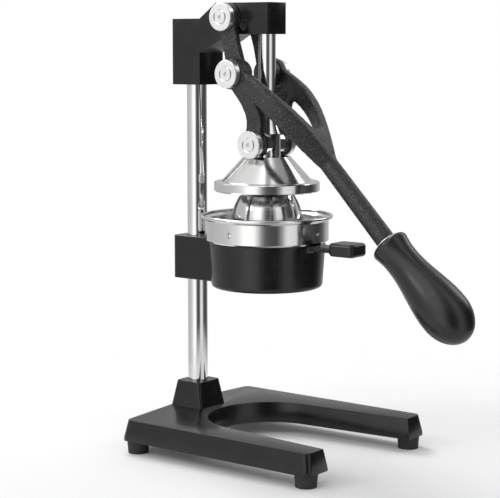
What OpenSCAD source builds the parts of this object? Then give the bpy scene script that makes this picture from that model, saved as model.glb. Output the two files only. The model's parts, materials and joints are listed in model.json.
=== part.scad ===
// Lever citrus press: a U-shaped cast base, one round column, a cast head with a
// plunger guide, a toggle linkage with a long lever, a press bell, and a ring that
// holds the juice cup with its strainer and reamer.
// Frame: +Z up, +X towards the open end of the base, Y across. The origin lies on the
// table, in the middle of the footprint. The sub-parts are drawn from the ram axis
// (the vertical line through bell, reamer and spout), which stands at x = ram_x.

/* [Overall] */
// Place of the ram axis along X, from the middle of the footprint
ram_x = -53.5; // [-70:0.1:-45]
// Gap between the rim of the juice cup and the column
column_gap = 11.7; // [8:0.1:20]
// Height of the head's underside, where the plunger leaves it
head_z = 368.4; // [362:0.2:390]

/* [Base] */
// Half the width of the base at its bottom edge
base_half_w = 91; // [86:0.5:105]
// Distance from the ram axis to the front end of the base
base_front = 110; // [100:1:130]
// How far the base reaches behind the column's axis
base_behind = 14; // [12:0.5:25]
// How far the middle of the rear edge bows out past the corners
base_bow = 7; // [5:0.5:12]
// Height of the base casting
base_h = 18.5; // [15:0.5:26]
// Slope of the casting's sides, measured as inset at the top edge
base_draft = 3; // [1:0.5:5]
// Width of the base's legs, beside the round end of the opening
leg_w = 34; // [30:0.5:45]
// Extra half width of the opening at the front ends of the legs
opening_flare = 9; // [0:0.5:12]
// Height of the column socket above the base
socket_h = 23.2; // [18:0.2:35]

/* [Feet] */
// Height of the rubber feet below the base
foot_h = 11.5; // [9:0.5:16]
// Radius of a foot where it meets the base
foot_r = 10; // [8:0.25:12]

/* [Column] */
// Radius of the column
column_r = 9; // [8:0.25:10]
// Radial clearance of the column in its sockets
column_fit = 0.05; // [0.02:0.01:0.1]

/* [Head] */
// Half width of the clamp block around the column
head_half_w = 16.6; // [15.5:0.1:20]
// Half width of the nose that guides the plunger
nose_half_w = 13; // [12:0.1:14]
// Height of the nose
nose_h = 27.2; // [24:0.2:34]
// Thickness of the nose's wall in front of the guide bush
nose_wall = 1.2; // [1:0.1:5]
// Thickness of the guide bush
bush_t = 1.2; // [1:0.1:2]
// Height of the clamp block's top, above the nose's underside
block_top = 13.8; // [10:0.2:20]
// Depth of the clamp block's bottom, below the nose's underside
block_drop = 44.4; // [35:0.2:60]

/* [Linkage] */
// Distance from the ram axis back to the upper pivot
upper_pivot_back = 28.2; // [27.2:0.1:29]
// Height of the upper pivot above the nose's underside
upper_pivot_up = 14.7; // [13.5:0.1:16]
// Length of the upper links, pivot to pivot
link_len = 50.4; // [49.5:0.1:51.5]
// Length of the lever's short legs, pivot to pivot
leg_len = 62.8; // [62:0.1:64]
// Lean of the links at rest, forward from straight down
link_lean = 14.6; // [14:0.1:15.2]
// Radius of the pivot pins
pin_r = 5; // [4:0.25:6]
// Radial running clearance of the pivots
pin_fit = 0.05; // [0.02:0.01:0.1]
// Side clearance between faces that turn against each other
side_gap = 0.2; // [0.1:0.05:0.4]
// Thickness of the upper links at their eyes
link_t = 7.8; // [6:0.1:9]
// Radius of the upper link eyes
link_eye_r = 12.4; // [11.5:0.1:13]

/* [Pivot caps] */
// Radius of the pivot caps
cap_r = 12; // [11:0.1:12.4]
// Thickness of the pivot caps
cap_t = 5.5; // [4:0.1:7]
// Radius of the flush screw head in a cap
cap_screw_r = 5.75; // [4.5:0.05:6.5]
// Thickness of the washers under the caps
washer_t = 0.7; // [0.5:0.1:1]

/* [Lever] */
// Thickness of the lever's elbows and fork arms
elbow_t = 8.2; // [7:0.1:9]
// Thickness of the short legs
leg_t = 7.9; // [6.5:0.1:9]
// Slope of the stem, down from horizontal
stem_slope = 46.5; // [44:0.5:49]
// Slope of the grip, down from horizontal
grip_slope = 43.8; // [41:0.1:49]
// Length of the stem from the fork to the grip
stem_len = 80; // [72:0.5:95]
// Radius of the stem at the grip
stem_r = 8.7; // [8:0.1:9.2]
// Length of the grip
grip_len = 106; // [94:1:122]
// Radius of the grip at its widest
grip_r = 21.6; // [19.5:0.1:24]

/* [Plunger] */
// Radius of the plunger rod
rod_r = 7.5; // [7:0.1:7.5]
// Radius of the cross boss that carries the lower pivot
cross_r = 11; // [10:0.1:11]
// Half length of the cross boss
cross_half = 12.9; // [12:0.1:13.5]
// Play of the rod in its guide, backwards
guide_back = 3.3; // [3:0.1:4]
// Play of the rod in its guide, forwards
guide_front = 1.5; // [1.4:0.1:1.6]
// Play of the rod in its guide, sideways
guide_side = 0.1; // [0.05:0.01:0.2]

/* [Press bell] */
// Radius of the bell's flange
bell_r = 46.3; // [44:0.1:50]
// Radius of the bell's flat top
bell_top_r = 20.5; // [19:0.1:21]
// Height of the bell's flange
flange_h = 8.5; // [7:0.1:10]
// Height of the whole bell
bell_h = 30.4; // [28:0.2:36]

/* [Ring and cup] */
// Gap between the reamer's tip and the roof of the raised bell
roof_gap = 11.1; // [8:0.1:30]
// Outer radius of the ring at its top edge
ring_r = 51.8; // [50:0.1:54]
// Height of the ring
ring_h = 41; // [36:0.5:50]
// Thickness of the ring's wall around the seat of the cup
seat_wall = 4.8; // [4:0.1:6]
// Radial clearance of the cup in its seat
seat_fit = 0.4; // [0.3:0.05:0.6]
// How far the cup's wall stands out past the ring
cup_over = 2.6; // [1:0.1:4]
// Height of the cup's rim above the ring
cup_h = 22; // [19:0.5:26]
// Thickness of the cup's sheet
sheet = 1; // [0.8:0.1:1.4]
// Height of the reamer's tip above the ring
reamer_up = 57; // [48:0.5:57]
// Radius of the reamer at its foot
reamer_r = 32; // [28:0.5:34]

/* [Ring handle] */
// Length of the handle pad on the ring's tongue
pad_len = 26; // [22:0.5:34]
// Width of the handle pad
pad_w = 24; // [22:0.5:32]
// Thickness of the handle pad
pad_t = 11.5; // [9:0.5:14]

/* [Hidden] */
$fn = 96;
eps = 0.01;

// Radii that the ring sets for the cup, and the cup for the column
seat_r = ring_r - seat_wall;
cup_r = ring_r + cup_over;
bead_r = 1.6;
rim_r = cup_r + 2.3 + bead_r;
column_reach = rim_r + column_gap + column_r;

// Base and column
base_top = foot_h + base_h;
base_rear = column_reach + base_behind;
opening_r = base_half_w - leg_w;
opening_x = 5.5;
socket_top = base_top + socket_h;
column_x = -column_reach;
column_bottom = foot_h + 8;
block_x0 = column_x - column_r - 7;
block_x1 = column_x + column_r + 7.8;
head_top = head_z + nose_h;
block_top_z = head_z + block_top;
block_bottom_z = head_z - block_drop;
column_top = block_top_z - 5;
foot_x = [base_front - 10.5, -(base_rear - 10)];
foot_y = base_half_w - 11.5;
set_screw_r = 3;
socket_screw_z = socket_top - 12;
head_screw_up = [12, block_drop - 4.4];

// Foot screws, and the bolt and washer that hold the column from below
foot_screw_r = 2;
foot_head_r = 4;
foot_head_h = 2.6;
foot_screw_l = 14;
screw_seat = 5;
bolt_r = 3.95;
bolt_l = 28;
bolt_head_h = 5.3;
bolt_washer_t = 1.6;

// Head: the arm between the clamp block and the nose
nose_front = guide_front + rod_r + guide_side + bush_t + nose_wall;
arm_drop = 16;
arm_front = -upper_pivot_back + 0.7;
arm_back = -upper_pivot_back - 15.8;
taper_front = -upper_pivot_back + 0.2;
taper_back = -upper_pivot_back - 11.8;
nose_chamfer = 1.5;

// Linkage, in the XZ plane through the ram axis: upper, middle and lower pivots
upper_pivot = [-upper_pivot_back, head_z + upper_pivot_up];
middle_pivot = upper_pivot + link_len * [sin(link_lean), -cos(link_lean)];
leg_lean = asin(-middle_pivot[0] / leg_len);
lower_pivot = middle_pivot + leg_len * [sin(leg_lean), -cos(leg_lean)];

// Where each layer of the linkage lies across the press, from the middle outwards
link_in = head_half_w + side_gap;
link_out = link_in + link_t;
elbow_in = link_out + side_gap + 0.1;
elbow_out = elbow_in + elbow_t;
leg_in = cross_half + side_gap;
leg_out = leg_in + leg_t;

// Plunger, bell, ring and cup, from the top down
barrel_r = 12;
bell_top = lower_pivot[1] - cross_r;
bell_bottom = bell_top - bell_h;
roof_t = 6;
bell_screw_r = 3;
bell_screw_tip = bell_top + cross_r - pin_r - 0.8;
ring_top = bell_top - roof_t - roof_gap - reamer_up;
ring_bottom = ring_top - ring_h;
floor_t = 4;
cup_rim = ring_top + cup_h;

// Four dimples in the cup's wall, on which the strainer's edge rests
dimple_x = cup_r - sheet + 1.1;
dimple_z = ring_top + 9;
dimple_r = 3.2;
strainer_r = cup_r - sheet - 0.5;
strainer_z = dimple_z + sqrt(pow(dimple_r, 2) - pow(dimple_x - strainer_r, 2)) + eps;

// Tongue of the ring, with its soft pad
pad_x0 = ring_r + 20.5;
tongue_t = 4.6;
tongue_w = pad_w - 4;
tongue_end = pad_x0 + pad_len - 8.5;

// Lever: where the fork's arms have joined to the stem
stem_start = middle_pivot + [85, -80];
stem_dir = [cos(stem_slope), -sin(stem_slope)];
stem_root = 22;
stem_flare = 0.8;
grip_start = stem_start + stem_len * stem_dir;
grip_dir = [cos(grip_slope), -sin(grip_slope)];
ferrule_t = 1.6;
ferrule_r = stem_r + 1.5;
stud_r = 3.95;
stud_fit = 0.05;
stud_in_stem = 17;
stud_in_grip = grip_len * 0.72;

function bezier(a, b, c, d, t) =
    pow(1 - t, 3) * a + 3 * pow(1 - t, 2) * t * b + 3 * (1 - t) * t * t * c + t * t * t * d;
function smooth(t) = t * t * (3 - 2 * t);

// ---------------------------------------------------------------- shared shapes

// Turns a shape drawn in XZ (x, z) into a slab that spans y = y0 to y1
module slab(y0, y1) {
    translate([0, y1, 0]) rotate([90, 0, 0]) linear_extrude(y1 - y0) children();
}

// A cylinder along Y from y0 to y1, at point p of the XZ plane
module y_pin(p, r, y0, y1) {
    translate([p[0], y0, p[1]]) rotate([-90, 0, 0]) cylinder(r = r, h = y1 - y0);
}

module both_pins(p, r, y0, y1) {
    y_pin(p, r, y0, y1);
    y_pin(p, r, -y1, -y0);
}

// A rectangle with rounded corners, centred in Y, from x0 to x1
module round_rect(x0, x1, half_w, r) {
    translate([x0 + r, -half_w]) square([x1 - x0 - 2 * r, 2 * half_w]);
    translate([x0, -half_w + r]) square([x1 - x0, 2 * half_w - 2 * r]);
    for (x = [x0 + r, x1 - r], y = [-half_w + r, half_w - r]) translate([x, y]) circle(r);
}

// A slot-shaped outline: a circle of radius r swept from x0 to x1
module slot(x0, x1, r) {
    translate([x0, 0]) circle(r);
    translate([x1, 0]) circle(r);
    translate([x0, -r]) square([x1 - x0, 2 * r]);
}

// Places its children with +Z pointing down the given slope, from the point p
module along(p, slope) {
    translate([p[0], 0, p[1]]) rotate([0, 90 + slope, 0]) children();
}

// A set screw along X: flat tip at x_tip, socket end at x_end (x_end < x_tip)
module set_screw(x_end, x_tip, z) {
    translate([x_end, 0, z]) rotate([0, 90, 0]) difference() {
        cylinder(r = set_screw_r, h = x_tip - x_end, $fn = 48);
        translate([0, 0, -eps]) cylinder(r = 1.7, h = 3, $fn = 6);
    }
}

module screw_hole(x_end, x_tip, z) {
    translate([x_end, 0, z]) rotate([0, 90, 0])
        cylinder(r = set_screw_r + 0.05, h = x_tip - x_end, $fn = 48);
}

// ---------------------------------------------------------------- base and column

module base_outline(inset) {
    rear = base_rear - inset;
    half = base_half_w - inset;
    r = 6;
    translate([-rear + r, -half]) square([base_front - inset + rear - 2 * r, 2 * half]);
    translate([-rear, -half + r]) square([base_front - inset + rear, 2 * half - 2 * r]);
    for (x = [-rear + r, base_front - inset - r], y = [-half + r, half - r])
        translate([x, y]) circle(r, $fn = 32);
    polygon([[-rear + 1, -half + r], [-rear - base_bow, -18], [-rear - base_bow, 18],
        [-rear + 1, half - r]]);
}

module opening_outline(inset) {
    r = opening_r - inset;
    front = base_front + 20;
    flare = opening_flare * (front - opening_x) / (base_front - opening_x);
    translate([opening_x, 0]) circle(r);
    polygon([[opening_x, -r], [front, -r - flare], [front, r + flare], [opening_x, r]]);
}

module base_casting() color("#1c1c1d") difference() {
    union() {
        difference() {
            hull() {
                translate([0, 0, foot_h]) linear_extrude(3) base_outline(0);
                translate([0, 0, base_top - 1]) linear_extrude(1) base_outline(base_draft);
            }
            hull() {
                translate([0, 0, foot_h - 1]) linear_extrude(1) opening_outline(base_draft);
                translate([0, 0, base_top]) linear_extrude(1) opening_outline(0);
            }
        }
        hull() {
            translate([column_x, 0, base_top - 4]) linear_extrude(4)
                round_rect(-column_r - 9, column_r + 9, column_r + 9.2, 3, $fn = 32);
            translate([column_x, 0, socket_top - 1]) linear_extrude(1)
                round_rect(-column_r - 4.6, column_r + 4.6, column_r + 5.9, 3, $fn = 32);
        }
    }
    translate([column_x, 0, column_bottom]) cylinder(r = column_r + column_fit, h = socket_top);
    translate([column_x, 0, foot_h - 1]) cylinder(r = bolt_r + 0.35, h = column_bottom);
    screw_hole(column_x - 20, column_x, socket_screw_z);
    for (x = foot_x, side = [-1, 1]) translate([x, side * foot_y, foot_h - 1])
        cylinder(r = foot_screw_r + 0.05, h = 11, $fn = 48);
}

module rubber_feet() color("#111111") for (x = foot_x, side = [-1, 1])
    translate([x, side * foot_y, 0]) difference() {
        cylinder(r1 = foot_r - 1, r2 = foot_r, h = foot_h);
        translate([0, 0, -1]) cylinder(r = foot_head_r + 1, h = screw_seat + 1);
        cylinder(r = foot_screw_r + 0.1, h = foot_h + 1, $fn = 48);
    }

module foot_screws() color("silver") for (x = foot_x, side = [-1, 1])
    translate([x, side * foot_y, screw_seat]) difference() {
        union() {
            translate([0, 0, -foot_head_h]) cylinder(r = foot_head_r, h = foot_head_h);
            cylinder(r = foot_screw_r, h = foot_screw_l, $fn = 48);
        }
        for (turn = [0, 90]) rotate(turn)
            translate([-2.5, -0.5, -foot_head_h - eps]) cube([5, 1, 1.4]);
    }

module column() color("silver") translate([column_x, 0, column_bottom]) difference() {
    cylinder(r = column_r, h = column_top - column_bottom);
    translate([0, 0, -eps]) cylinder(r = bolt_r + 0.05, h = bolt_l - 2, $fn = 48);
}

module column_washer() color("silver")
    translate([column_x, 0, foot_h - bolt_washer_t]) difference() {
        cylinder(r = 9, h = bolt_washer_t);
        translate([0, 0, -1]) cylinder(r = bolt_r + 0.25, h = bolt_washer_t + 2, $fn = 48);
    }

module column_bolt() color("silver") translate([column_x, 0, foot_h - bolt_washer_t]) {
    translate([0, 0, -bolt_head_h]) cylinder(r = 7.5, h = bolt_head_h, $fn = 6);
    cylinder(r = bolt_r, h = bolt_l, $fn = 48);
}

module socket_screw() color("#2a2a2c")
    set_screw(column_x - column_r - 6.6, column_x - column_r, socket_screw_z);

// ---------------------------------------------------------------- head

// Side outline of the head, around the clamp block, the sloping arm and the nose
module head_profile() {
    polygon([
        [block_x0, block_bottom_z], [block_x1, block_bottom_z],
        [block_x1, head_z - arm_drop], [arm_front, head_z], [nose_front, head_z],
        [nose_front, head_top], [arm_back, head_top], [block_x1, block_top_z],
        [block_x0, block_top_z]
    ]);
}

// Seen from above, the head narrows from the clamp block to the nose
module head_plan() {
    half = [
        [block_x0, head_half_w - 2], [block_x0 + 2, head_half_w], [taper_back, head_half_w],
        [taper_front, nose_half_w], [nose_front - nose_chamfer, nose_half_w],
        [nose_front, nose_half_w - nose_chamfer]
    ];
    for (side = [-1, 1]) scale([1, side]) polygon(concat([[block_x0, 0]], half, [[nose_front, 0]]));
}

module guide_outline(grow) {
    slot(-guide_back, guide_front, rod_r + guide_side + grow);
}

module head_casting() color("#1c1c1d") difference() {
    union() {
        intersection() {
            slab(-head_half_w, head_half_w) head_profile();
            translate([0, 0, block_bottom_z - 1])
                linear_extrude(head_top - block_bottom_z + 2) head_plan();
        }
        intersection() {
            slab(-head_half_w, head_half_w) head_profile();
            for (side = [-1, 1]) translate([upper_pivot[0], 0, upper_pivot[1]])
                rotate([-90 * side, 0, 0]) translate([0, 0, nose_half_w - 2])
                    cylinder(r1 = 20, r2 = 12.6, h = head_half_w - nose_half_w + 2);
        }
    }
    translate([column_x, 0, block_bottom_z - 1])
        cylinder(r = column_r + column_fit, h = column_top - block_bottom_z + 1.2);
    translate([0, 0, head_z - 1]) linear_extrude(nose_h + 2) guide_outline(bush_t);
    y_pin(upper_pivot, pin_r, -head_half_w - 1, head_half_w + 1);
    for (up = head_screw_up) screw_hole(block_x0 - 1, column_x, block_bottom_z + up);
}

module head_screws() color("#2a2a2c") for (up = head_screw_up)
    set_screw(block_x0 + 0.6, column_x - column_r, block_bottom_z + up);

// Bronze-coloured liner in the nose; its slot leaves the rod the play it needs
module guide_bush() color("#a98a4e") translate([0, 0, head_z]) linear_extrude(nose_h)
    difference() {
        guide_outline(bush_t);
        guide_outline(0);
    }

// ---------------------------------------------------------------- pivots

// Chamfers of the caps, and depth of the screw's seat below a cap's face
cap_chamfer = 0.6;
pocket_chamfer = 0.9;
cap_seat = 3;
// The screw's shank, how far it reaches behind the cap, and its hexagon socket
shank_r = 2.9;
shank_reach = 10;
hexagon_r = 2.3;
hexagon_depth = 2;

// A disc cap with a pocket for its flush screw, standing outwards from face y0
module pivot_cap(p, y0) {
    translate([p[0], y0, p[1]]) rotate([-90, 0, 0]) difference() {
        union() {
            cylinder(r = cap_r, h = cap_t - cap_chamfer);
            translate([0, 0, cap_t - cap_chamfer])
                cylinder(r1 = cap_r, r2 = cap_r - cap_chamfer, h = cap_chamfer);
        }
        translate([0, 0, cap_t - cap_seat]) cylinder(r = cap_screw_r + 0.15, h = cap_seat + 1);
        translate([0, 0, cap_t - pocket_chamfer])
            cylinder(r1 = cap_screw_r, r2 = cap_screw_r + 1.1, h = pocket_chamfer + eps);
        translate([0, 0, -1]) cylinder(r = shank_r + 0.2, h = cap_t, $fn = 48);
    }
}

module pivot_screw(p, y0) {
    edge = 0.5;
    translate([p[0], y0, p[1]]) rotate([-90, 0, 0]) difference() {
        union() {
            translate([0, 0, cap_t - cap_seat]) cylinder(r = cap_screw_r, h = cap_seat - edge);
            translate([0, 0, cap_t - edge])
                cylinder(r1 = cap_screw_r, r2 = cap_screw_r - edge, h = edge);
            translate([0, 0, -shank_reach])
                cylinder(r = shank_r, h = cap_t + shank_reach - cap_seat + eps, $fn = 48);
        }
        translate([0, 0, cap_t - hexagon_depth])
            cylinder(r = hexagon_r, h = hexagon_depth + 1, $fn = 6);
    }
}

module pivot_washer(p, y0) {
    translate([p[0], y0, p[1]]) rotate([-90, 0, 0]) difference() {
        cylinder(r = cap_r - 0.8, h = washer_t);
        translate([0, 0, -1]) cylinder(r = shank_r + 0.2, h = washer_t + 2, $fn = 48);
    }
}

// Mirrors the left-hand piece to both sides of the press
module both_sides() {
    children();
    mirror([0, 1, 0]) children();
}

// A pin along Y with a threaded hole for the cap screw in its outer end
module drilled_pin(p, y0, y1) {
    difference() {
        y_pin(p, pin_r, y0, y1);
        y_pin(p, shank_r + 0.05, y1 - shank_reach - 1, y1 + 1, $fn = 48);
    }
}

module upper_pin() color("silver") both_sides()
    drilled_pin(upper_pivot, 0, link_out + side_gap);
module upper_washers() color("#555555") both_sides()
    pivot_washer(upper_pivot, link_out + side_gap);
module upper_caps() color("gainsboro") both_sides()
    pivot_cap(upper_pivot, link_out + side_gap + washer_t);
module upper_cap_screws() color("gainsboro") both_sides()
    pivot_screw(upper_pivot, link_out + side_gap + washer_t);

module middle_pins() color("silver") both_sides()
    drilled_pin(middle_pivot, link_in, elbow_out + side_gap);
module middle_washers() color("#555555") both_sides()
    pivot_washer(middle_pivot, elbow_out + side_gap);
module middle_caps() color("gainsboro") both_sides()
    pivot_cap(middle_pivot, elbow_out + side_gap + washer_t);
module middle_cap_screws() color("gainsboro") both_sides()
    pivot_screw(middle_pivot, elbow_out + side_gap + washer_t);

module lower_pin() color("silver") both_sides()
    drilled_pin(lower_pivot, 0, leg_out + side_gap);
module lower_washers() color("#555555") both_sides()
    pivot_washer(lower_pivot, leg_out + side_gap);
module lower_caps() color("gainsboro") both_sides()
    pivot_cap(lower_pivot, leg_out + side_gap + washer_t);
module lower_cap_screws() color("gainsboro") both_sides()
    pivot_screw(lower_pivot, leg_out + side_gap + washer_t);

// ---------------------------------------------------------------- upper links

// Web between the eyes, waisted in the middle and thinner than the eyes on the inner side
web_end = 9.2;
web_mid = 7.9;
module link() {
    along = [sin(link_lean), -cos(link_lean)];
    across = [cos(link_lean), sin(link_lean)];
    difference() {
        union() {
            y_pin(upper_pivot, link_eye_r, link_in, link_out);
            y_pin(middle_pivot, link_eye_r, link_in, link_out);
            slab(link_in + 2, link_out) polygon([
                upper_pivot - web_end * across, upper_pivot + web_end * across,
                upper_pivot + link_len / 2 * along + web_mid * across,
                middle_pivot + web_end * across, middle_pivot - web_end * across,
                upper_pivot + link_len / 2 * along - web_mid * across
            ]);
        }
        y_pin(upper_pivot, pin_r + pin_fit, link_in - 1, link_out + 1);
        y_pin(middle_pivot, pin_r, link_in - 1, link_out + 1);
    }
}

module link_left() color("#1c1c1d") link();
module link_right() color("#1c1c1d") mirror([0, 1, 0]) link();

// ---------------------------------------------------------------- lever

// Centre line of a fork arm in side view, from the elbow to the stem
arm_a = middle_pivot;
arm_b = middle_pivot + [40, -17.5];
arm_c = stem_start + [-21, 32];
arm_d = stem_start;
arm_steps = 14;
function arm_point(t) = bezier(arm_a, arm_b, arm_c, arm_d, t);
function arm_normal(t) =
    let (d = arm_point(t + 0.01) - arm_point(t - 0.01)) [-d[1], d[0]] / norm(d);
function arm_half(t) = 8.7 - 0.6 * t - 3.6 * pow(t, 6);
arm_side = concat(
    [for (i = [0:arm_steps]) let (t = i / arm_steps) arm_point(t) + arm_half(t) * arm_normal(t)],
    [for (i = [arm_steps:-1:0]) let (t = i / arm_steps) arm_point(t) - arm_half(t) * arm_normal(t)]
);

// Fork seen from above: each arm starts straight at its elbow, bows out and runs in to the
// stem, where the arms meet in a round crotch
arm_y = (elbow_in + elbow_out) / 2;
fork_start_x = middle_pivot[0] + 20;
fork_end_x = stem_start[0] - 1;
crotch_x = stem_start[0] - 16;
crotch_r = 8.5;
crotch_depth = 4;
plan_steps = 12;
crotch_steps = 6;
fork_outer = [for (i = [0:plan_steps]) bezier(
    [fork_start_x, elbow_out], [fork_start_x + 25, elbow_out + 3.4],
    [fork_end_x - 25.5, 0.83 * arm_y], [fork_end_x, 6.6], i / plan_steps)];
fork_inner = [for (i = [0:plan_steps]) bezier(
    [fork_start_x, elbow_in], [fork_start_x + 19, elbow_in + 2.4],
    [fork_end_x - 34.5, 0.69 * arm_y], [crotch_x - crotch_depth, crotch_r], i / plan_steps)];
crotch = [for (i = [1:crotch_steps]) let (a = 90 * i / crotch_steps)
    [crotch_x - crotch_depth * (1 - sin(a)), crotch_r * cos(a)]];
module fork_plan() {
    back = middle_pivot[0] - 20;
    for (side = [-1, 1]) scale([1, side]) polygon(concat([[back, elbow_out]], fork_outer,
        [[fork_end_x + 5, 4], [fork_end_x + 5, 0]],
        [for (i = [crotch_steps - 1:-1:0]) crotch[i]],
        [for (i = [plan_steps:-1:0]) fork_inner[i]], [[back, elbow_in]]));
}

// Centre line of a short leg in side view: it bows forward a little on its way down
leg_bow = [middle_pivot + [25.5, -22.3], lower_pivot + [-2, 17.5]];
leg_steps = 8;
function leg_point(t) = bezier(middle_pivot, leg_bow[0], leg_bow[1], lower_pivot, t);
function leg_normal(t) =
    let (d = leg_point(t + 0.01) - leg_point(t - 0.01)) [-d[1], d[0]] / norm(d);
leg_half = 8.3;
leg_side = concat(
    [for (i = [0:leg_steps]) let (t = i / leg_steps) leg_point(t) + leg_half * leg_normal(t)],
    [for (i = [leg_steps:-1:0]) let (t = i / leg_steps) leg_point(t) - leg_half * leg_normal(t)]
);

// Front view of a leg: it steps inwards below the link eye, from elbow to plunger
module leg_front() {
    step_top = middle_pivot[1] - link_eye_r - 2;
    step_bottom = step_top - 22;
    polygon([
        [elbow_in, middle_pivot[1] + 20], [elbow_in, step_top], [leg_in, step_bottom],
        [leg_in, lower_pivot[1] - 20], [leg_out, lower_pivot[1] - 20],
        [leg_out, step_bottom - 4], [elbow_out, step_top - 3], [elbow_out, middle_pivot[1] + 20]
    ]);
}

module lever_casting() color("#1c1c1d") difference() {
    union() {
        both_pins(middle_pivot, 13.4, elbow_in, elbow_out);
        both_pins(lower_pivot, 10.4, leg_in, leg_out);
        intersection() {
            slab(-elbow_out, elbow_out) polygon(arm_side);
            translate([0, 0, lower_pivot[1] - 80]) linear_extrude(200) fork_plan();
        }
        intersection() {
            slab(-elbow_out, elbow_out) polygon(leg_side);
            both_sides() rotate([90, 0, 90]) translate([0, 0, -60])
                linear_extrude(120) leg_front();
        }
        intersection() {
            along(stem_start - stem_root * stem_dir, stem_slope)
                cylinder(r1 = stem_r - stem_flare, r2 = stem_r, h = stem_len + stem_root + 1);
            translate([crotch_x + 1, -30, 0]) cube([200, 60, 400]);
        }
    }
    both_pins(middle_pivot, pin_r + pin_fit, elbow_in - 1, elbow_out + 1);
    both_pins(lower_pivot, pin_r + pin_fit, leg_in - 1, leg_out + 1);
    along(grip_start - (stud_in_stem + 1) * grip_dir, grip_slope)
        cylinder(r = stud_r + stud_fit, h = stud_in_stem + 2, $fn = 48);
    along(grip_start, grip_slope) cylinder(r = ferrule_r + 1, h = 5);
}

module lever_ferrule() color("gainsboro") along(grip_start, grip_slope) difference() {
    cylinder(r = ferrule_r, h = ferrule_t);
    translate([0, 0, -1]) cylinder(r = stud_r + 3 * stud_fit, h = ferrule_t + 2, $fn = 48);
}

module grip_stud() color("silver") along(grip_start - stud_in_stem * grip_dir, grip_slope)
    cylinder(r = stud_r, h = stud_in_stem + ferrule_t + stud_in_grip, $fn = 48);

// Half outline of the grip: a rounded lip and collar, a neck, a belly and an oval end
grip_neck = 0.68;
grip_collar = 0.14;
grip_taper = 0.73;
grip_lip = 4;
function grip_edge(t) = grip_r * (grip_neck
    + (1 - grip_neck) * smooth(min(1, max(0, (t - 0.19) / 0.52)))
    + grip_collar * pow(max(0, 1 - t / 0.17), 2));
module grip_profile() {
    end_h = grip_len * (1 - grip_taper);
    lip_r = grip_edge(grip_lip / grip_len);
    lip = [for (i = [0:4]) [lip_r - grip_lip * (1 - sin(22.5 * i)), grip_lip * (1 - cos(22.5 * i))]];
    side = [for (i = [1:12]) let (t = grip_taper * i / 12) [grip_edge(t), grip_len * t]];
    end = [for (i = [1:11]) [grip_r * cos(8 * i), grip_len * grip_taper + end_h * sin(8 * i)]];
    polygon(concat([[0, 0]], lip, side, end, [[0, grip_len]]));
}

module lever_grip() color("#0c0c0d") along(grip_start + ferrule_t * grip_dir, grip_slope)
    difference() {
        rotate_extrude() grip_profile();
        translate([0, 0, -1]) cylinder(r = stud_r + stud_fit, h = stud_in_grip + 3, $fn = 48);
    }

// ---------------------------------------------------------------- plunger and bell

// Rod, flared neck and barrel are turned in one piece with the cross boss
module plunger_rod() color("silver") difference() {
    union() {
        rotate_extrude() polygon(concat(
            [[0, bell_top], [barrel_r, bell_top], [barrel_r, lower_pivot[1] + 8]],
            [for (i = [0:8]) let (t = i / 8)
                [rod_r + (barrel_r - rod_r) * pow(1 - t, 2), lower_pivot[1] + 9 + 20 * t]],
            [[rod_r, head_top - 2.5], [rod_r - 1.5, head_top - 1], [0, head_top - 1]]
        ));
        y_pin(lower_pivot, cross_r, -cross_half, cross_half);
    }
    y_pin(lower_pivot, pin_r, -cross_half - 1, cross_half + 1);
    translate([0, 0, bell_top - 1])
        cylinder(r = bell_screw_r, h = bell_screw_tip - bell_top + 1.3, $fn = 48);
}

// Conical shell with a straight flange and a flat top for the rod's foot
module press_bell() color("silver") difference() {
    edge = 0.8;
    cone_r = bell_r - 6.3;
    inner_r = bell_r - 5;
    rotate_extrude() polygon([
        [0, bell_bottom], [bell_r - edge, bell_bottom], [bell_r, bell_bottom + edge],
        [bell_r, bell_bottom + flange_h - edge], [bell_r - edge, bell_bottom + flange_h],
        [cone_r, bell_bottom + flange_h + edge / 2], [bell_top_r, bell_top], [0, bell_top]
    ]);
    rotate_extrude() polygon([
        [0, bell_bottom - 1], [inner_r, bell_bottom - 1], [inner_r, bell_bottom + 5],
        [bell_top_r - 3, bell_top - roof_t], [0, bell_top - roof_t]
    ]);
    translate([0, 0, bell_top - roof_t - 1]) cylinder(r = bell_screw_r + 0.1, h = roof_t + 3, $fn = 48);
    translate([0, 0, bell_top - roof_t - eps]) cylinder(r1 = 6.6, r2 = bell_screw_r + 0.1, h = 3.6);
}

module bell_screw() color("silver") difference() {
    union() {
        translate([0, 0, bell_top - roof_t]) cylinder(r1 = 6.5, r2 = bell_screw_r, h = 3.5);
        translate([0, 0, bell_top - roof_t + 3.4])
            cylinder(r = bell_screw_r, h = bell_screw_tip - bell_top + roof_t - 3.4, $fn = 48);
    }
    translate([0, 0, bell_top - roof_t - eps]) cylinder(r = 2, h = 2.5, $fn = 6);
}

// ---------------------------------------------------------------- ring holder

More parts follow.
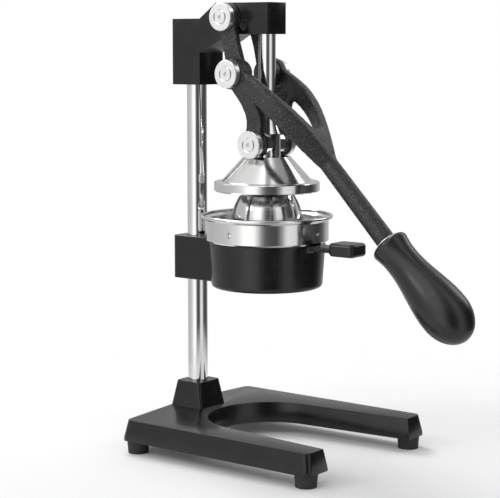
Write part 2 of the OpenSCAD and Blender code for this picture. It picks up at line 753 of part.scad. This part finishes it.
ring_foot_r = ring_r - 2.6;
ring_edge = 0.8;
drain_r = 24;
ledge_r = seat_r - 3.6;
ledge_drop = 12.5;
module ring_holder() color("#1c1c1d") difference() {
    union() {
        rotate_extrude() polygon([
            [drain_r - 1, ring_bottom], [ring_foot_r - 3, ring_bottom],
            [ring_foot_r - 0.8, ring_bottom + 1], [ring_foot_r, ring_bottom + 3],
            [ring_r, ring_top - ring_edge], [ring_r - ring_edge, ring_top], [drain_r - 1, ring_top]
        ]);
        translate([0, 0, ring_bottom + 1]) linear_extrude(ring_h - 1.8)
            round_rect(column_x - column_r - 8.5, 13 - ring_r, column_r + 6, 5);
        translate([ring_r - 8, -tongue_w / 2, ring_top - 0.4 - tongue_t])
            cube([tongue_end - ring_r + 8, tongue_w, tongue_t]);
    }
    rotate_extrude() polygon([
        [0, ring_bottom - 1], [drain_r, ring_bottom - 1], [drain_r, ring_bottom + floor_t],
        [ledge_r, ring_bottom + floor_t], [ledge_r, ring_top - ledge_drop - 0.5],
        [seat_r, ring_top - ledge_drop], [seat_r, ring_top - ring_edge],
        [seat_r + ring_edge, ring_top + 1], [0, ring_top + 1]
    ]);
    translate([column_x, 0, ring_bottom - 1]) cylinder(r = column_r + column_fit, h = ring_h + 3);
    screw_hole(column_x - column_r - 9.5, column_x, ring_top - ring_h / 2);
}

module ring_screw() color("#2a2a2c")
    set_screw(column_x - column_r - 7.9, column_x - column_r, ring_top - ring_h / 2);

// Half outline of a pad corner: a disc with a round rim
pad_corner_r = 5;
pad_rim_r = 3;
module pad_corner() intersection() {
    union() {
        translate([pad_corner_r - pad_rim_r, 0]) circle(pad_rim_r, $fn = 24);
        translate([0, -pad_rim_r]) square([pad_corner_r - pad_rim_r, 2 * pad_rim_r]);
    }
    translate([0, -pad_rim_r]) square([pad_corner_r, 2 * pad_rim_r]);
}

// Soft pad pushed over the ring's tongue
module ring_handle_pad() color("#0c0c0d") difference() {
    mid = ring_top - 0.4 - tongue_t / 2;
    translate([pad_x0, 0, mid + 0.9]) hull()
        for (x = [pad_corner_r, pad_len - pad_corner_r], y = [-1, 1], z = [-1, 1])
            translate([x, y * (pad_w / 2 - pad_corner_r), z * (pad_t / 2 - pad_rim_r)])
                rotate_extrude($fn = 32) pad_corner();
    translate([pad_x0 - 1, -tongue_w / 2 - 0.05, mid - tongue_t / 2 - 0.05])
        cube([tongue_end - pad_x0 + 1.1, tongue_w + 0.1, tongue_t + 0.1]);
}

// ---------------------------------------------------------------- cup, strainer, reamer

cup_low_r = seat_r - seat_fit;
spout_r = 8;
module cup_body(t, lid) {
    rotate_extrude() polygon([
        [0, ring_bottom + 1 - lid], [spout_r - t, ring_bottom + 1 - lid],
        [spout_r - t, ring_bottom + 14], [cup_low_r - t, ring_top - 11],
        [cup_low_r - t, ring_top + t], [cup_r - t - 1.2, ring_top + t],
        [cup_r - t, ring_top + 1.2 + t], [cup_r - t, cup_rim - 3.5],
        [cup_r - t + 2.2, cup_rim - 1.4], [cup_r - t + 2.2, cup_rim + lid], [0, cup_rim + lid]
    ]);
}

// Four inward dimples on the wall carry the strainer
module dimples(r) {
    for (turn = [0:90:270]) rotate(turn) translate([dimple_x, 0, dimple_z])
        sphere(r, $fn = 48);
}

module juice_cup() color("silver") {
    difference() {
        union() {
            difference() {
                union() {
                    cup_body(0, 0);
                    translate([0, 0, cup_rim - 0.4]) rotate_extrude()
                        translate([rim_r - bead_r, 0]) circle(bead_r, $fn = 24);
                }
                cup_body(sheet, 1);
            }
            intersection() {
                dimples(dimple_r);
                cylinder(r = cup_r - sheet / 2, h = cup_rim);
            }
        }
        dimples(dimple_r - sheet);
    }
}

strainer_t = 1;
strainer_rim = 4;
hole_rings = 4;
hole_count = 28;
hole_r = 1.2;
hole_pitch = (strainer_r - reamer_r - 6.5) / (hole_rings - 1);
module strainer() color("silver") difference() {
    translate([0, 0, strainer_z]) cylinder(r = strainer_r, h = strainer_rim);
    translate([0, 0, strainer_z + strainer_t]) cylinder(r = strainer_r - strainer_t, h = strainer_rim);
    for (ring = [0:hole_rings - 1], hole = [0:hole_count - 1])
        rotate((hole + 0.5 * (ring % 2)) * 360 / hole_count)
            translate([reamer_r + 3.5 + hole_pitch * ring, 0, strainer_z - 1])
                cylinder(r = hole_r, h = 3, $fn = 16);
    translate([0, 0, strainer_z - 1]) cylinder(r = 6, h = 3);
}

// Ribbed hollow dome, open below, that stands on the strainer over its drain hole
reamer_top = ring_top + reamer_up;
reamer_z = strainer_z + strainer_t;
dome_z = reamer_z + 2;
dome_h = reamer_top - dome_z;
rib_depth = 3;
rib_t = 2.4;
dome_wall = 2.2;
ribs = 8;
dome_steps = 15;
function reamer_edge(t) = reamer_r * pow(1 - pow(t, 1.9), 0.62);
function valley_edge(t) = reamer_edge(t) - rib_depth * (1 - t);
module reamer() color("whitesmoke") difference() {
    union() {
        rotate_extrude() polygon(concat([[0, reamer_z], [valley_edge(0), reamer_z]],
            [for (i = [0:dome_steps - 1]) let (t = i / dome_steps)
                [valley_edge(t), dome_z + dome_h * t]],
            [[0, reamer_top - 1]]));
        for (rib = [0:ribs - 1]) rotate(rib * 360 / ribs) rotate([90, 0, 0])
            translate([0, 0, -rib_t / 2]) linear_extrude(rib_t) polygon(concat(
                [[0, reamer_z], [reamer_r, reamer_z]],
                [for (i = [0:dome_steps - 1]) let (t = i / dome_steps)
                    [reamer_edge(t), dome_z + dome_h * t]],
                [[1, reamer_top], [0, reamer_top]]));
    }
    rotate_extrude() polygon(concat([[0, reamer_z - 1], [valley_edge(0) - dome_wall, reamer_z - 1]],
        [for (i = [0:dome_steps - 3]) let (t = i / dome_steps)
            [valley_edge(t) - dome_wall, dome_z + dome_h * t]],
        [[0, dome_z + dome_h * 0.86]]));
}

// ---------------------------------------------------------------- assembly

module placed() {
    translate([ram_x, 0, 0]) children();
}

placed() base_casting();
placed() rubber_feet();
placed() foot_screws();
placed() column();
placed() column_bolt();
placed() column_washer();
placed() socket_screw();
placed() head_casting();
placed() head_screws();
placed() guide_bush();
placed() upper_pin();
placed() upper_washers();
placed() upper_caps();
placed() upper_cap_screws();
placed() ring_holder();
placed() ring_screw();
placed() ring_handle_pad();
placed() link_left();
placed() link_right();
placed() middle_pins();
placed() middle_washers();
placed() middle_caps();
placed() middle_cap_screws();
placed() lever_casting();
placed() lever_ferrule();
placed() grip_stud();
placed() lever_grip();
placed() plunger_rod();
placed() lower_pin();
placed() lower_washers();
placed() lower_caps();
placed() lower_cap_screws();
placed() press_bell();
placed() bell_screw();
placed() juice_cup();
placed() strainer();
placed() reamer();
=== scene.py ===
"""Looks of the lever citrus press: rounded castings, turned and spun metal, soft grips,
procedural materials, studio light and camera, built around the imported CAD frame."""

import json
from math import cos, radians, sin

import bmesh
import bpy
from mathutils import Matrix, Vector

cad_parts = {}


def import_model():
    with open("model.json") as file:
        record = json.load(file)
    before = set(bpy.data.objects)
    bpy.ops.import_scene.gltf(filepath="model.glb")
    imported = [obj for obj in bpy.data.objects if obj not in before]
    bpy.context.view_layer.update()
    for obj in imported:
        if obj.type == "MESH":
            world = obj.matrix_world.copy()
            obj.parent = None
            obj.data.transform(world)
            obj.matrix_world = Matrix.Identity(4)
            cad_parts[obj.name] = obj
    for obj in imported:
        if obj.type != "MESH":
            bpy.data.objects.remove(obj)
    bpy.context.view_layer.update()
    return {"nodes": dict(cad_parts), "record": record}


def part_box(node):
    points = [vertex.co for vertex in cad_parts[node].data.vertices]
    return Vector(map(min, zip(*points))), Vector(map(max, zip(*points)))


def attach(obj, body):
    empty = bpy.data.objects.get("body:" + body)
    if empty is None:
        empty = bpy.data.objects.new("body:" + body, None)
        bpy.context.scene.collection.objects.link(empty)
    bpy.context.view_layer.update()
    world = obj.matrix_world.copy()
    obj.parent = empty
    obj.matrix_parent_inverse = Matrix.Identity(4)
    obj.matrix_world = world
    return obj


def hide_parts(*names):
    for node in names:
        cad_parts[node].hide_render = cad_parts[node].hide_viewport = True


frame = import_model()
nodes = frame["nodes"]
MM = 0.001


def middle(node):
    """The middle of a CAD node's box."""
    low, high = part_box(node)
    return (low + high) / 2


# The ram axis: the vertical line through the bell, the reamer and the plunger
RAM_X = middle("press_bell").x


# ---------------------------------------------------------------- mesh helpers

# Angles between faces: an edge above SHARP stays sharp when shaded, one above EDGE is
# bevelled, and triangles within COPLANAR of each other are one face
SHARP, EDGE, COPLANAR = radians(35), radians(28), radians(0.6)
# Points of a CAD mesh that are closer than this are one point
WELD = 2e-6
BEVEL_STEPS = 3


def new_object(name, mesh):
    """A mesh as an object in the scene."""
    piece = bpy.data.objects.new(name, mesh)
    bpy.context.scene.collection.objects.link(piece)
    return piece


def finish_piece(piece, body, slot, material, *replaced):
    """Give a piece its material and its body, and hide the CAD nodes that it stands for."""
    piece.data.materials.clear()
    piece.data.materials.append(material)
    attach(piece, body)
    if replaced:
        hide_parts(*replaced)
    return piece


def apply_modifiers(piece):
    """Give a piece the mesh that its modifiers make, and drop them."""
    graph = bpy.context.evaluated_depsgraph_get()
    mesh = bpy.data.meshes.new_from_object(piece.evaluated_get(graph))
    piece.modifiers.clear()
    piece.data = mesh
    return piece


def shade_smooth(piece):
    """Smooth shading, with the sharp edges kept."""
    mesh = piece.data
    mesh.shade_smooth()
    bm = bmesh.new()
    bm.from_mesh(mesh)
    for edge in bm.edges:
        if len(edge.link_faces) == 2:
            edge.smooth = edge.calc_face_angle(0.0) < SHARP
    bm.to_mesh(mesh)
    bm.free()
    return piece


def clean_copy(node, name):
    """A welded copy of a CAD node's mesh, with its coplanar triangles joined into faces."""
    piece = new_object(name, nodes[node].data.copy())
    bm = bmesh.new()
    bm.from_mesh(piece.data)
    bmesh.ops.remove_doubles(bm, verts=bm.verts, dist=WELD)
    bmesh.ops.dissolve_limit(bm, angle_limit=COPLANAR, verts=bm.verts, edges=bm.edges)
    bmesh.ops.recalc_face_normals(bm, faces=bm.faces)
    bm.to_mesh(piece.data)
    bm.free()
    flat_marks = piece.data.attributes.get("sharp_face")
    if flat_marks:
        piece.data.attributes.remove(flat_marks)
    return piece


def bevelled(node, name, width):
    """A CAD node with its sharp edges rounded."""
    piece = clean_copy(node, name)
    bevel = piece.modifiers.new("edges", "BEVEL")
    bevel.width = width
    bevel.segments = BEVEL_STEPS
    bevel.limit_method = "ANGLE"
    bevel.angle_limit = EDGE
    bevel.use_clamp_overlap = True
    bevel.miter_outer = "MITER_ARC"
    apply_modifiers(piece)
    return shade_smooth(piece)


def cast_copy(node, name, voxel, passes, keep):
    """A CAD casting with every edge and inner corner rounded, as sand casting leaves them.
    It is remade from voxels, smoothed in passes, and thinned to a share of its faces."""
    piece = new_object(name, nodes[node].data.copy())
    remesh = piece.modifiers.new("skin", "REMESH")
    remesh.mode = "VOXEL"
    remesh.voxel_size = voxel
    smooth = piece.modifiers.new("smooth", "SMOOTH")
    smooth.factor = 0.5
    smooth.iterations = passes
    thin = piece.modifiers.new("thin", "DECIMATE")
    thin.ratio = keep
    apply_modifiers(piece)
    piece.data.shade_smooth()
    return piece


def soften(piece, pins, near, far, iterations):
    """Round a casting more where it is between near and far metres away from its pins."""
    centres = [middle(pin) for pin in pins]
    group = piece.vertex_groups.new(name="away")
    for vertex in piece.data.vertices:
        gap = min(Vector((vertex.co.x - c.x, vertex.co.z - c.z)).length for c in centres)
        group.add([vertex.index], min(1.0, max(0.0, (gap - near) / (far - near))), "REPLACE")
    smooth = piece.modifiers.new("soften", "SMOOTH")
    smooth.vertex_group = group.name
    smooth.factor = 0.5
    smooth.iterations = iterations
    apply_modifiers(piece)
    piece.data.shade_smooth()
    return piece


# ---------------------------------------------------------------- material helpers

# Nearly all the values of a noise lie between these
NOISE_LOW, NOISE_HIGH = 0.3, 0.7


class Shader:
    """A material under construction: one Principled shader and the nodes that feed it."""

    def __init__(self, name, color, roughness, metallic=0.0, **sockets):
        self.material = bpy.data.materials.new(name)
        self.material.use_nodes = True
        self.tree = self.material.node_tree
        self.shader = self.tree.nodes["Principled BSDF"]
        self.set("Base Color", (*color, 1.0))
        self.set("Roughness", roughness)
        self.set("Metallic", metallic)
        for key, value in sockets.items():
            self.set(key.replace("_", " "), value)
        self.place = self.node("ShaderNodeTexCoord").outputs["Object"]
        self.bump_end = None

    def set(self, socket, value):
        self.shader.inputs[socket].default_value = value

    def node(self, kind, **settings):
        node = self.tree.nodes.new(kind)
        for key, value in settings.items():
            setattr(node, key, value)
        return node

    def link(self, output, target):
        self.tree.links.new(output, target)

    def stretched(self, scale):
        """Object coordinates with a scale for each axis, so a pattern runs in lines."""
        mapping = self.node("ShaderNodeMapping")
        mapping.inputs["Scale"].default_value = scale
        self.link(self.place, mapping.inputs["Vector"])
        return mapping.outputs["Vector"]

    def noise(self, scale, detail=3.0, rough=0.55, vector=None):
        noise = self.node("ShaderNodeTexNoise")
        noise.inputs["Scale"].default_value = scale
        noise.inputs["Detail"].default_value = detail
        noise.inputs["Roughness"].default_value = rough
        self.link(vector or self.place, noise.inputs["Vector"])
        return noise.outputs["Fac"]

    def cells(self, scale):
        """The distance to the nearest point of a random scatter: rounded grains."""
        cells = self.node("ShaderNodeTexVoronoi", feature="F1")
        cells.inputs["Scale"].default_value = scale
        self.link(self.place, cells.inputs["Vector"])
        return cells.outputs["Distance"]

    def mapped(self, value, low, high, from_low=NOISE_LOW, from_high=NOISE_HIGH):
        """A value stretched onto the range from low to high."""
        ramp = self.node("ShaderNodeMapRange")
        for key, number in (("From Min", from_low), ("From Max", from_high),
                            ("To Min", low), ("To Max", high)):
            ramp.inputs[key].default_value = number
        self.link(value, ramp.inputs["Value"])
        return ramp.outputs["Result"]

    def colors(self, value, stops):
        """Colour the surface by a value, along stops of position and colour."""
        ramp = self.node("ShaderNodeValToRGB")
        elements = ramp.color_ramp.elements
        while len(elements) < len(stops):
            elements.new(0.5)
        for element, (position, color) in zip(elements, stops):
            element.position = position
            element.color = (*color, 1.0)
        self.link(value, ramp.inputs["Fac"])
        self.link(ramp.outputs["Color"], self.shader.inputs["Base Color"])

    def tints(self, value, dark, light):
        """Colour the surface between two tones."""
        self.colors(value, ((NOISE_LOW, dark), (NOISE_HIGH, light)))

    def rough(self, value, low, high):
        self.link(self.mapped(value, low, high), self.shader.inputs["Roughness"])

    def bump(self, height, depth, strength):
        """Relief of a depth in metres, on top of the relief that is there already."""
        bump = self.node("ShaderNodeBump")
        bump.inputs["Strength"].default_value = strength
        bump.inputs["Distance"].default_value = depth
        self.link(height, bump.inputs["Height"])
        if self.bump_end:
            self.link(self.bump_end, bump.inputs["Normal"])
        self.bump_end = bump.outputs["Normal"]
        self.link(self.bump_end, self.shader.inputs["Normal"])


# ---------------------------------------------------------------- materials

def satin_casting():
    """Black powder coat on the base, the head and the ring: fine, even orange peel."""
    m = Shader("satin_casting", (0.008, 0.008, 0.0085), 0.22, Specular_IOR_Level=0.42)
    m.tints(m.noise(60, 3.0), (0.004, 0.004, 0.0043), (0.008, 0.008, 0.0085))
    m.rough(m.noise(120, 4.0), 0.17, 0.27)
    m.bump(m.noise(850, 2.0), 0.05 * MM, 0.5)
    m.bump(m.noise(300, 3.0), 0.09 * MM, 0.5)
    return m.material


def rough_casting():
    """Coarser cast skin of the lever and the links: grains in its relief, and pale specks painted
    into its colour as glints.
    """
    m = Shader("rough_casting", (0.012, 0.012, 0.012), 0.40, Specular_IOR_Level=0.55)
    # Dark tones vary at random; the pale specks from 0.68 up are painted glints
    m.colors(m.noise(750, 4.0, 0.7), ((0.40, (0.005, 0.005, 0.0055)),
                                      (0.56, (0.014, 0.014, 0.0145)),
                                      (0.68, (0.10, 0.10, 0.102))))
    m.rough(m.noise(85, 4.0), 0.26, 0.42)
    m.bump(m.cells(560), 0.40 * MM, 0.8)
    m.bump(m.noise(420, 5.0, 0.65), 0.75 * MM, 0.8)
    return m.material


def polished_steel():
    """Ground and polished bar: faint lengthwise drawing lines."""
    m = Shader("polished_steel", (0.72, 0.72, 0.72), 0.07, 1.0)
    lines = m.noise(900, 2.0, 0.5, m.stretched((1, 1, 0.01)))
    m.rough(lines, 0.05, 0.09)
    m.tints(m.noise(40, 2.0), (0.69, 0.69, 0.695), (0.75, 0.75, 0.75))
    m.bump(lines, 0.002 * MM, 0.2)
    return m.material


def brushed_steel():
    """Spun and brushed stainless sheet: fine lines that run around the turned piece."""
    m = Shader("brushed_steel", (0.68, 0.68, 0.675), 0.14, 1.0)
    lines = m.noise(1400, 3.0, 0.6, m.stretched((0.03, 0.03, 1.0)))
    m.rough(lines, 0.11, 0.18)
    m.tints(m.noise(30, 3.0), (0.65, 0.65, 0.645), (0.71, 0.71, 0.705))
    m.bump(lines, 0.003 * MM, 0.25)
    return m.material


def small_steel():
    """Plated screws, bolts and pins."""
    m = Shader("small_steel", (0.55, 0.55, 0.54), 0.28, 1.0)
    m.rough(m.noise(500, 3.0), 0.22, 0.36)
    m.tints(m.noise(120, 3.0), (0.48, 0.48, 0.475), (0.62, 0.62, 0.61))
    m.bump(m.noise(1500, 2.0), 0.02 * MM, 0.4)
    return m.material


def cap_aluminium():
    """Fine blasted and faced aluminium of the pivot caps."""
    m = Shader("cap_aluminium", (0.88, 0.88, 0.88), 0.30, 1.0)
    m.rough(m.noise(900, 2.0), 0.29, 0.40)
    m.tints(m.noise(150, 3.0), (0.84, 0.84, 0.84), (0.91, 0.91, 0.91))
    m.bump(m.noise(2400, 2.0), 0.015 * MM, 0.4)
    return m.material


def black_grip():
    """Smooth moulded grip with a soft satin surface."""
    m = Shader("black_grip", (0.008, 0.008, 0.0085), 0.30, Specular_IOR_Level=0.5)
    m.rough(m.noise(220, 3.0), 0.26, 0.34)
    m.tints(m.noise(45, 3.0), (0.006, 0.006, 0.0065), (0.011, 0.011, 0.0115))
    m.bump(m.noise(1800, 2.0), 0.03 * MM, 0.35)
    return m.material


def foot_rubber():
    """Dull moulded rubber."""
    m = Shader("foot_rubber", (0.016, 0.016, 0.016), 0.7)
    m.rough(m.noise(300, 3.0), 0.62, 0.8)
    m.tints(m.noise(200, 4.0), (0.012, 0.012, 0.012), (0.024, 0.024, 0.024))
    m.bump(m.noise(900, 3.0), 0.08 * MM, 0.5)
    return m.material


def bush_brass():
    """Bored brass, with faint lines along the bore."""
    m = Shader("bush_brass", (0.62, 0.44, 0.18), 0.3, 1.0)
    lines = m.noise(1200, 2.0, 0.5, m.stretched((1, 1, 0.05)))
    m.rough(lines, 0.24, 0.40)
    m.tints(m.noise(90, 3.0), (0.52, 0.36, 0.14), (0.68, 0.49, 0.21))
    m.bump(lines, 0.02 * MM, 0.4)
    return m.material


def black_screw():
    """Blackened steel of the set screws."""
    m = Shader("black_screw", (0.02, 0.02, 0.022), 0.36, 0.6)
    m.rough(m.noise(700, 3.0), 0.30, 0.46)
    m.tints(m.noise(200, 3.0), (0.015, 0.015, 0.017), (0.030, 0.030, 0.033))
    m.bump(m.noise(1500, 2.0), 0.02 * MM, 0.4)
    return m.material


def washer_nylon():
    """Dark plastic of the thin washers."""
    m = Shader("washer_nylon", (0.10, 0.10, 0.10), 0.5)
    m.rough(m.noise(400, 3.0), 0.44, 0.58)
    m.tints(m.noise(150, 3.0), (0.08, 0.08, 0.08), (0.13, 0.13, 0.13))
    m.bump(m.noise(1200, 2.0), 0.02 * MM, 0.4)
    return m.material


MATERIALS = {
    "black_casting": satin_casting(),
    "polished_steel": polished_steel(),
    "brushed_steel": brushed_steel(),
    "cap_aluminium": cap_aluminium(),
    "black_grip": black_grip(),
    "foot_rubber": foot_rubber(),
    "bush_brass": bush_brass(),
    "black_screw": black_screw(),
    "washer_nylon": washer_nylon(),
}
ROUGH_CASTING = rough_casting()
SMALL_STEEL = small_steel()
SMALL_PARTS = ("foot_screws", "column_bolt", "column_washer", "upper_pin", "middle_pins",
               "lower_pin", "bell_screw", "grip_stud")

for part in frame["record"]["subparts"]:
    cad = nodes[part["node"]]
    cad.data.materials.clear()
    small = part["node"] in SMALL_PARTS
    cad.data.materials.append(SMALL_STEEL if small else MATERIALS[part["material_slot"]])


# ---------------------------------------------------------------- castings

def make_castings():
    """The pieces that replace CAD nodes, because their edges are rounded."""
    satin = MATERIALS["black_casting"]
    base = bevelled("base_casting", "base_body", 1.8 * MM)
    finish_piece(base, "frame", "black_casting", satin, "base_casting")
    head = bevelled("head_casting", "head_body", 1.3 * MM)
    finish_piece(head, "frame", "black_casting", satin, "head_casting")
    ring = cast_copy("ring_holder", "ring_body", 0.9 * MM, 3, 0.35)
    finish_piece(ring, "frame", "black_casting", satin, "ring_holder")
    for side in ("left", "right"):
        link = cast_copy("link_" + side, "upper_link_" + side, 0.6 * MM, 3, 0.4)
        finish_piece(link, "links", "black_casting", ROUGH_CASTING, "link_" + side)
    lever = cast_copy("lever_casting", "lever_body", 0.8 * MM, 8, 1.0)
    soften(lever, ("middle_pins", "lower_pin"), 11 * MM, 17 * MM, 34)
    finish_piece(lever, "lever", "black_casting", ROUGH_CASTING, "lever_casting")
    grip = bevelled("lever_grip", "grip_body", 0.8 * MM)
    finish_piece(grip, "lever", "black_grip", MATERIALS["black_grip"], "lever_grip")


make_castings()


# ---------------------------------------------------------------- floor, light and camera

FLOOR_R = 0.52
# The floor starts to fade at the first of these distances and is gone at the second
FADE_START, FADE_END = 0.5 * FLOOR_R, 0.96 * FLOOR_R


def floor_piece():
    """A pale round floor that fades into the white backdrop at its rim."""
    bm = bmesh.new()
    bmesh.ops.create_circle(bm, cap_ends=True, segments=128, radius=FLOOR_R)
    mesh = bpy.data.meshes.new("floor")
    bm.to_mesh(mesh)
    bm.free()
    floor = new_object("floor", mesh)
    m = Shader("floor_white", (0.74, 0.74, 0.74), 0.7, Specular_IOR_Level=0.3)
    m.rough(m.noise(3, 2.0), 0.62, 0.75)
    distance = m.node("ShaderNodeVectorMath", operation="LENGTH")
    m.link(m.place, distance.inputs[0])
    fade = m.mapped(distance.outputs["Value"], 1.0, 0.0, FADE_START, FADE_END)
    m.link(fade, m.shader.inputs["Alpha"])
    # A faint glow: painted light that brightens the floor and lifts the shadows on it
    m.set("Emission Color", (1.0, 1.0, 1.0, 1.0))
    m.set("Emission Strength", 0.04)
    mesh.materials.append(m.material)


# Brightness around the horizon, from -X (0) through -Y (0.25), +X (0.5) and +Y (0.75)
HORIZON = ((0.00, 0.62), (0.13, 0.72), (0.20, 1.05), (0.23, 1.50), (0.285, 1.45), (0.325, 0.34),
           (0.345, 0.12), (0.405, 0.07), (0.43, 0.40), (0.455, 1.05), (0.51, 0.95),
           (0.54, 0.28), (0.575, 0.10), (0.66, 0.045), (0.70, 0.14), (0.76, 0.55), (1.0, 0.62))
# Overhead, the same bands are softened: brightness where the horizon has 0 and where it has 1
SKY_LOW, SKY_HIGH = 0.30, 1.35
# Heights, from 0 at the horizon to 1 straight up, where the sky begins to take over and has
SKY_START, SKY_FULL = 0.35, 0.80
# Sockets of a Mix node that mixes colours
MIX_A, MIX_B, MIX_RESULT = 6, 7, 2


def world():
    """Light and dark bands around the horizon for the metal, plain white for the camera."""
    light = bpy.data.worlds.new("studio")
    bpy.context.scene.world = light
    light.use_nodes = True
    tree = light.node_tree
    background = tree.nodes["Background"]
    coords = tree.nodes.new("ShaderNodeTexCoord")
    turn = tree.nodes.new("ShaderNodeTexGradient")
    turn.gradient_type = "RADIAL"
    tree.links.new(coords.outputs["Generated"], turn.inputs["Vector"])
    ramp = tree.nodes.new("ShaderNodeValToRGB")
    elements = ramp.color_ramp.elements
    while len(elements) < len(HORIZON):
        elements.new(0.5)
    for element, (position, level) in zip(elements, HORIZON):
        element.position = position
        element.color = (level, level, level, 1.0)
    tree.links.new(turn.outputs["Fac"], ramp.inputs["Fac"])
    height = tree.nodes.new("ShaderNodeSeparateXYZ")
    tree.links.new(coords.outputs["Generated"], height.inputs["Vector"])
    rise = tree.nodes.new("ShaderNodeMapRange")
    rise.inputs["From Min"].default_value = SKY_START
    rise.inputs["From Max"].default_value = SKY_FULL
    tree.links.new(height.outputs["Z"], rise.inputs["Value"])
    sky = tree.nodes.new("ShaderNodeMapRange")
    sky.clamp = False
    sky.inputs["To Min"].default_value = SKY_LOW
    sky.inputs["To Max"].default_value = SKY_HIGH
    tree.links.new(ramp.outputs["Color"], sky.inputs["Value"])
    dome = tree.nodes.new("ShaderNodeMix")
    dome.data_type = "RGBA"
    tree.links.new(rise.outputs["Result"], dome.inputs["Factor"])
    tree.links.new(ramp.outputs["Color"], dome.inputs[MIX_A])
    tree.links.new(sky.outputs["Result"], dome.inputs[MIX_B])
    seen = tree.nodes.new("ShaderNodeLightPath")
    mix = tree.nodes.new("ShaderNodeMix")
    mix.data_type = "RGBA"
    tree.links.new(seen.outputs["Is Camera Ray"], mix.inputs["Factor"])
    tree.links.new(dome.outputs[MIX_RESULT], mix.inputs[MIX_A])
    mix.inputs[MIX_B].default_value = (1.0, 1.0, 1.0, 1.0)
    tree.links.new(mix.outputs[MIX_RESULT], background.inputs["Color"])
    background.inputs["Strength"].default_value = 1.0


def area_light(name, place, target, size, power):
    """A rectangular lamp that faces a target."""
    data = bpy.data.lights.new(name, "AREA")
    data.shape = "RECTANGLE"
    data.size, data.size_y = size
    data.energy = power
    lamp = bpy.data.objects.new(name, data)
    bpy.context.scene.collection.objects.link(lamp)
    lamp.location = place
    lamp.rotation_euler = (Vector(target) - Vector(place)).to_track_quat("-Z", "Y").to_euler()


def lights():
    """Three soft lamps: in front, behind, and overhead to model the dark castings."""
    centre = (RAM_X, 0.0, 0.2)
    area_light("key", (RAM_X - 0.9, -1.5, 1.3), centre, (0.6, 0.6), 8)
    area_light("rim", (RAM_X + 0.5, 1.3, 1.0), centre, (0.5, 0.8), 3)
    area_light("shade", (RAM_X - 1.0, 0.4, 1.5), centre, (0.7, 0.7), 14)


# The photograph's viewpoint: the turn from the front, the rise above level, the distance in
# metres to the point that the camera aims at, and the lens and sensor in millimetres
CAMERA_TURN, CAMERA_RISE = radians(37.3), radians(7.45)
CAMERA_DISTANCE = 1.4
CAMERA_AIM = (RAM_X - 0.0188, 0.0, 0.1789)
LENS, SENSOR = 113.2, 36.0


def camera():
    """The camera, where the photograph was taken from."""
    target = Vector(CAMERA_AIM)
    direction = Vector((sin(CAMERA_TURN) * cos(CAMERA_RISE), -cos(CAMERA_TURN) * cos(CAMERA_RISE),
                        sin(CAMERA_RISE)))
    data = bpy.data.cameras.new("camera")
    data.lens = LENS
    data.sensor_width = SENSOR
    eye = bpy.data.objects.new("camera", data)
    bpy.context.scene.collection.objects.link(eye)
    eye.location = target + direction * CAMERA_DISTANCE
    eye.rotation_euler = (-direction).to_track_quat("-Z", "Y").to_euler()
    bpy.context.scene.camera = eye


floor_piece()
world()
lights()
camera()
bpy.context.scene.view_settings.view_transform = "Standard"
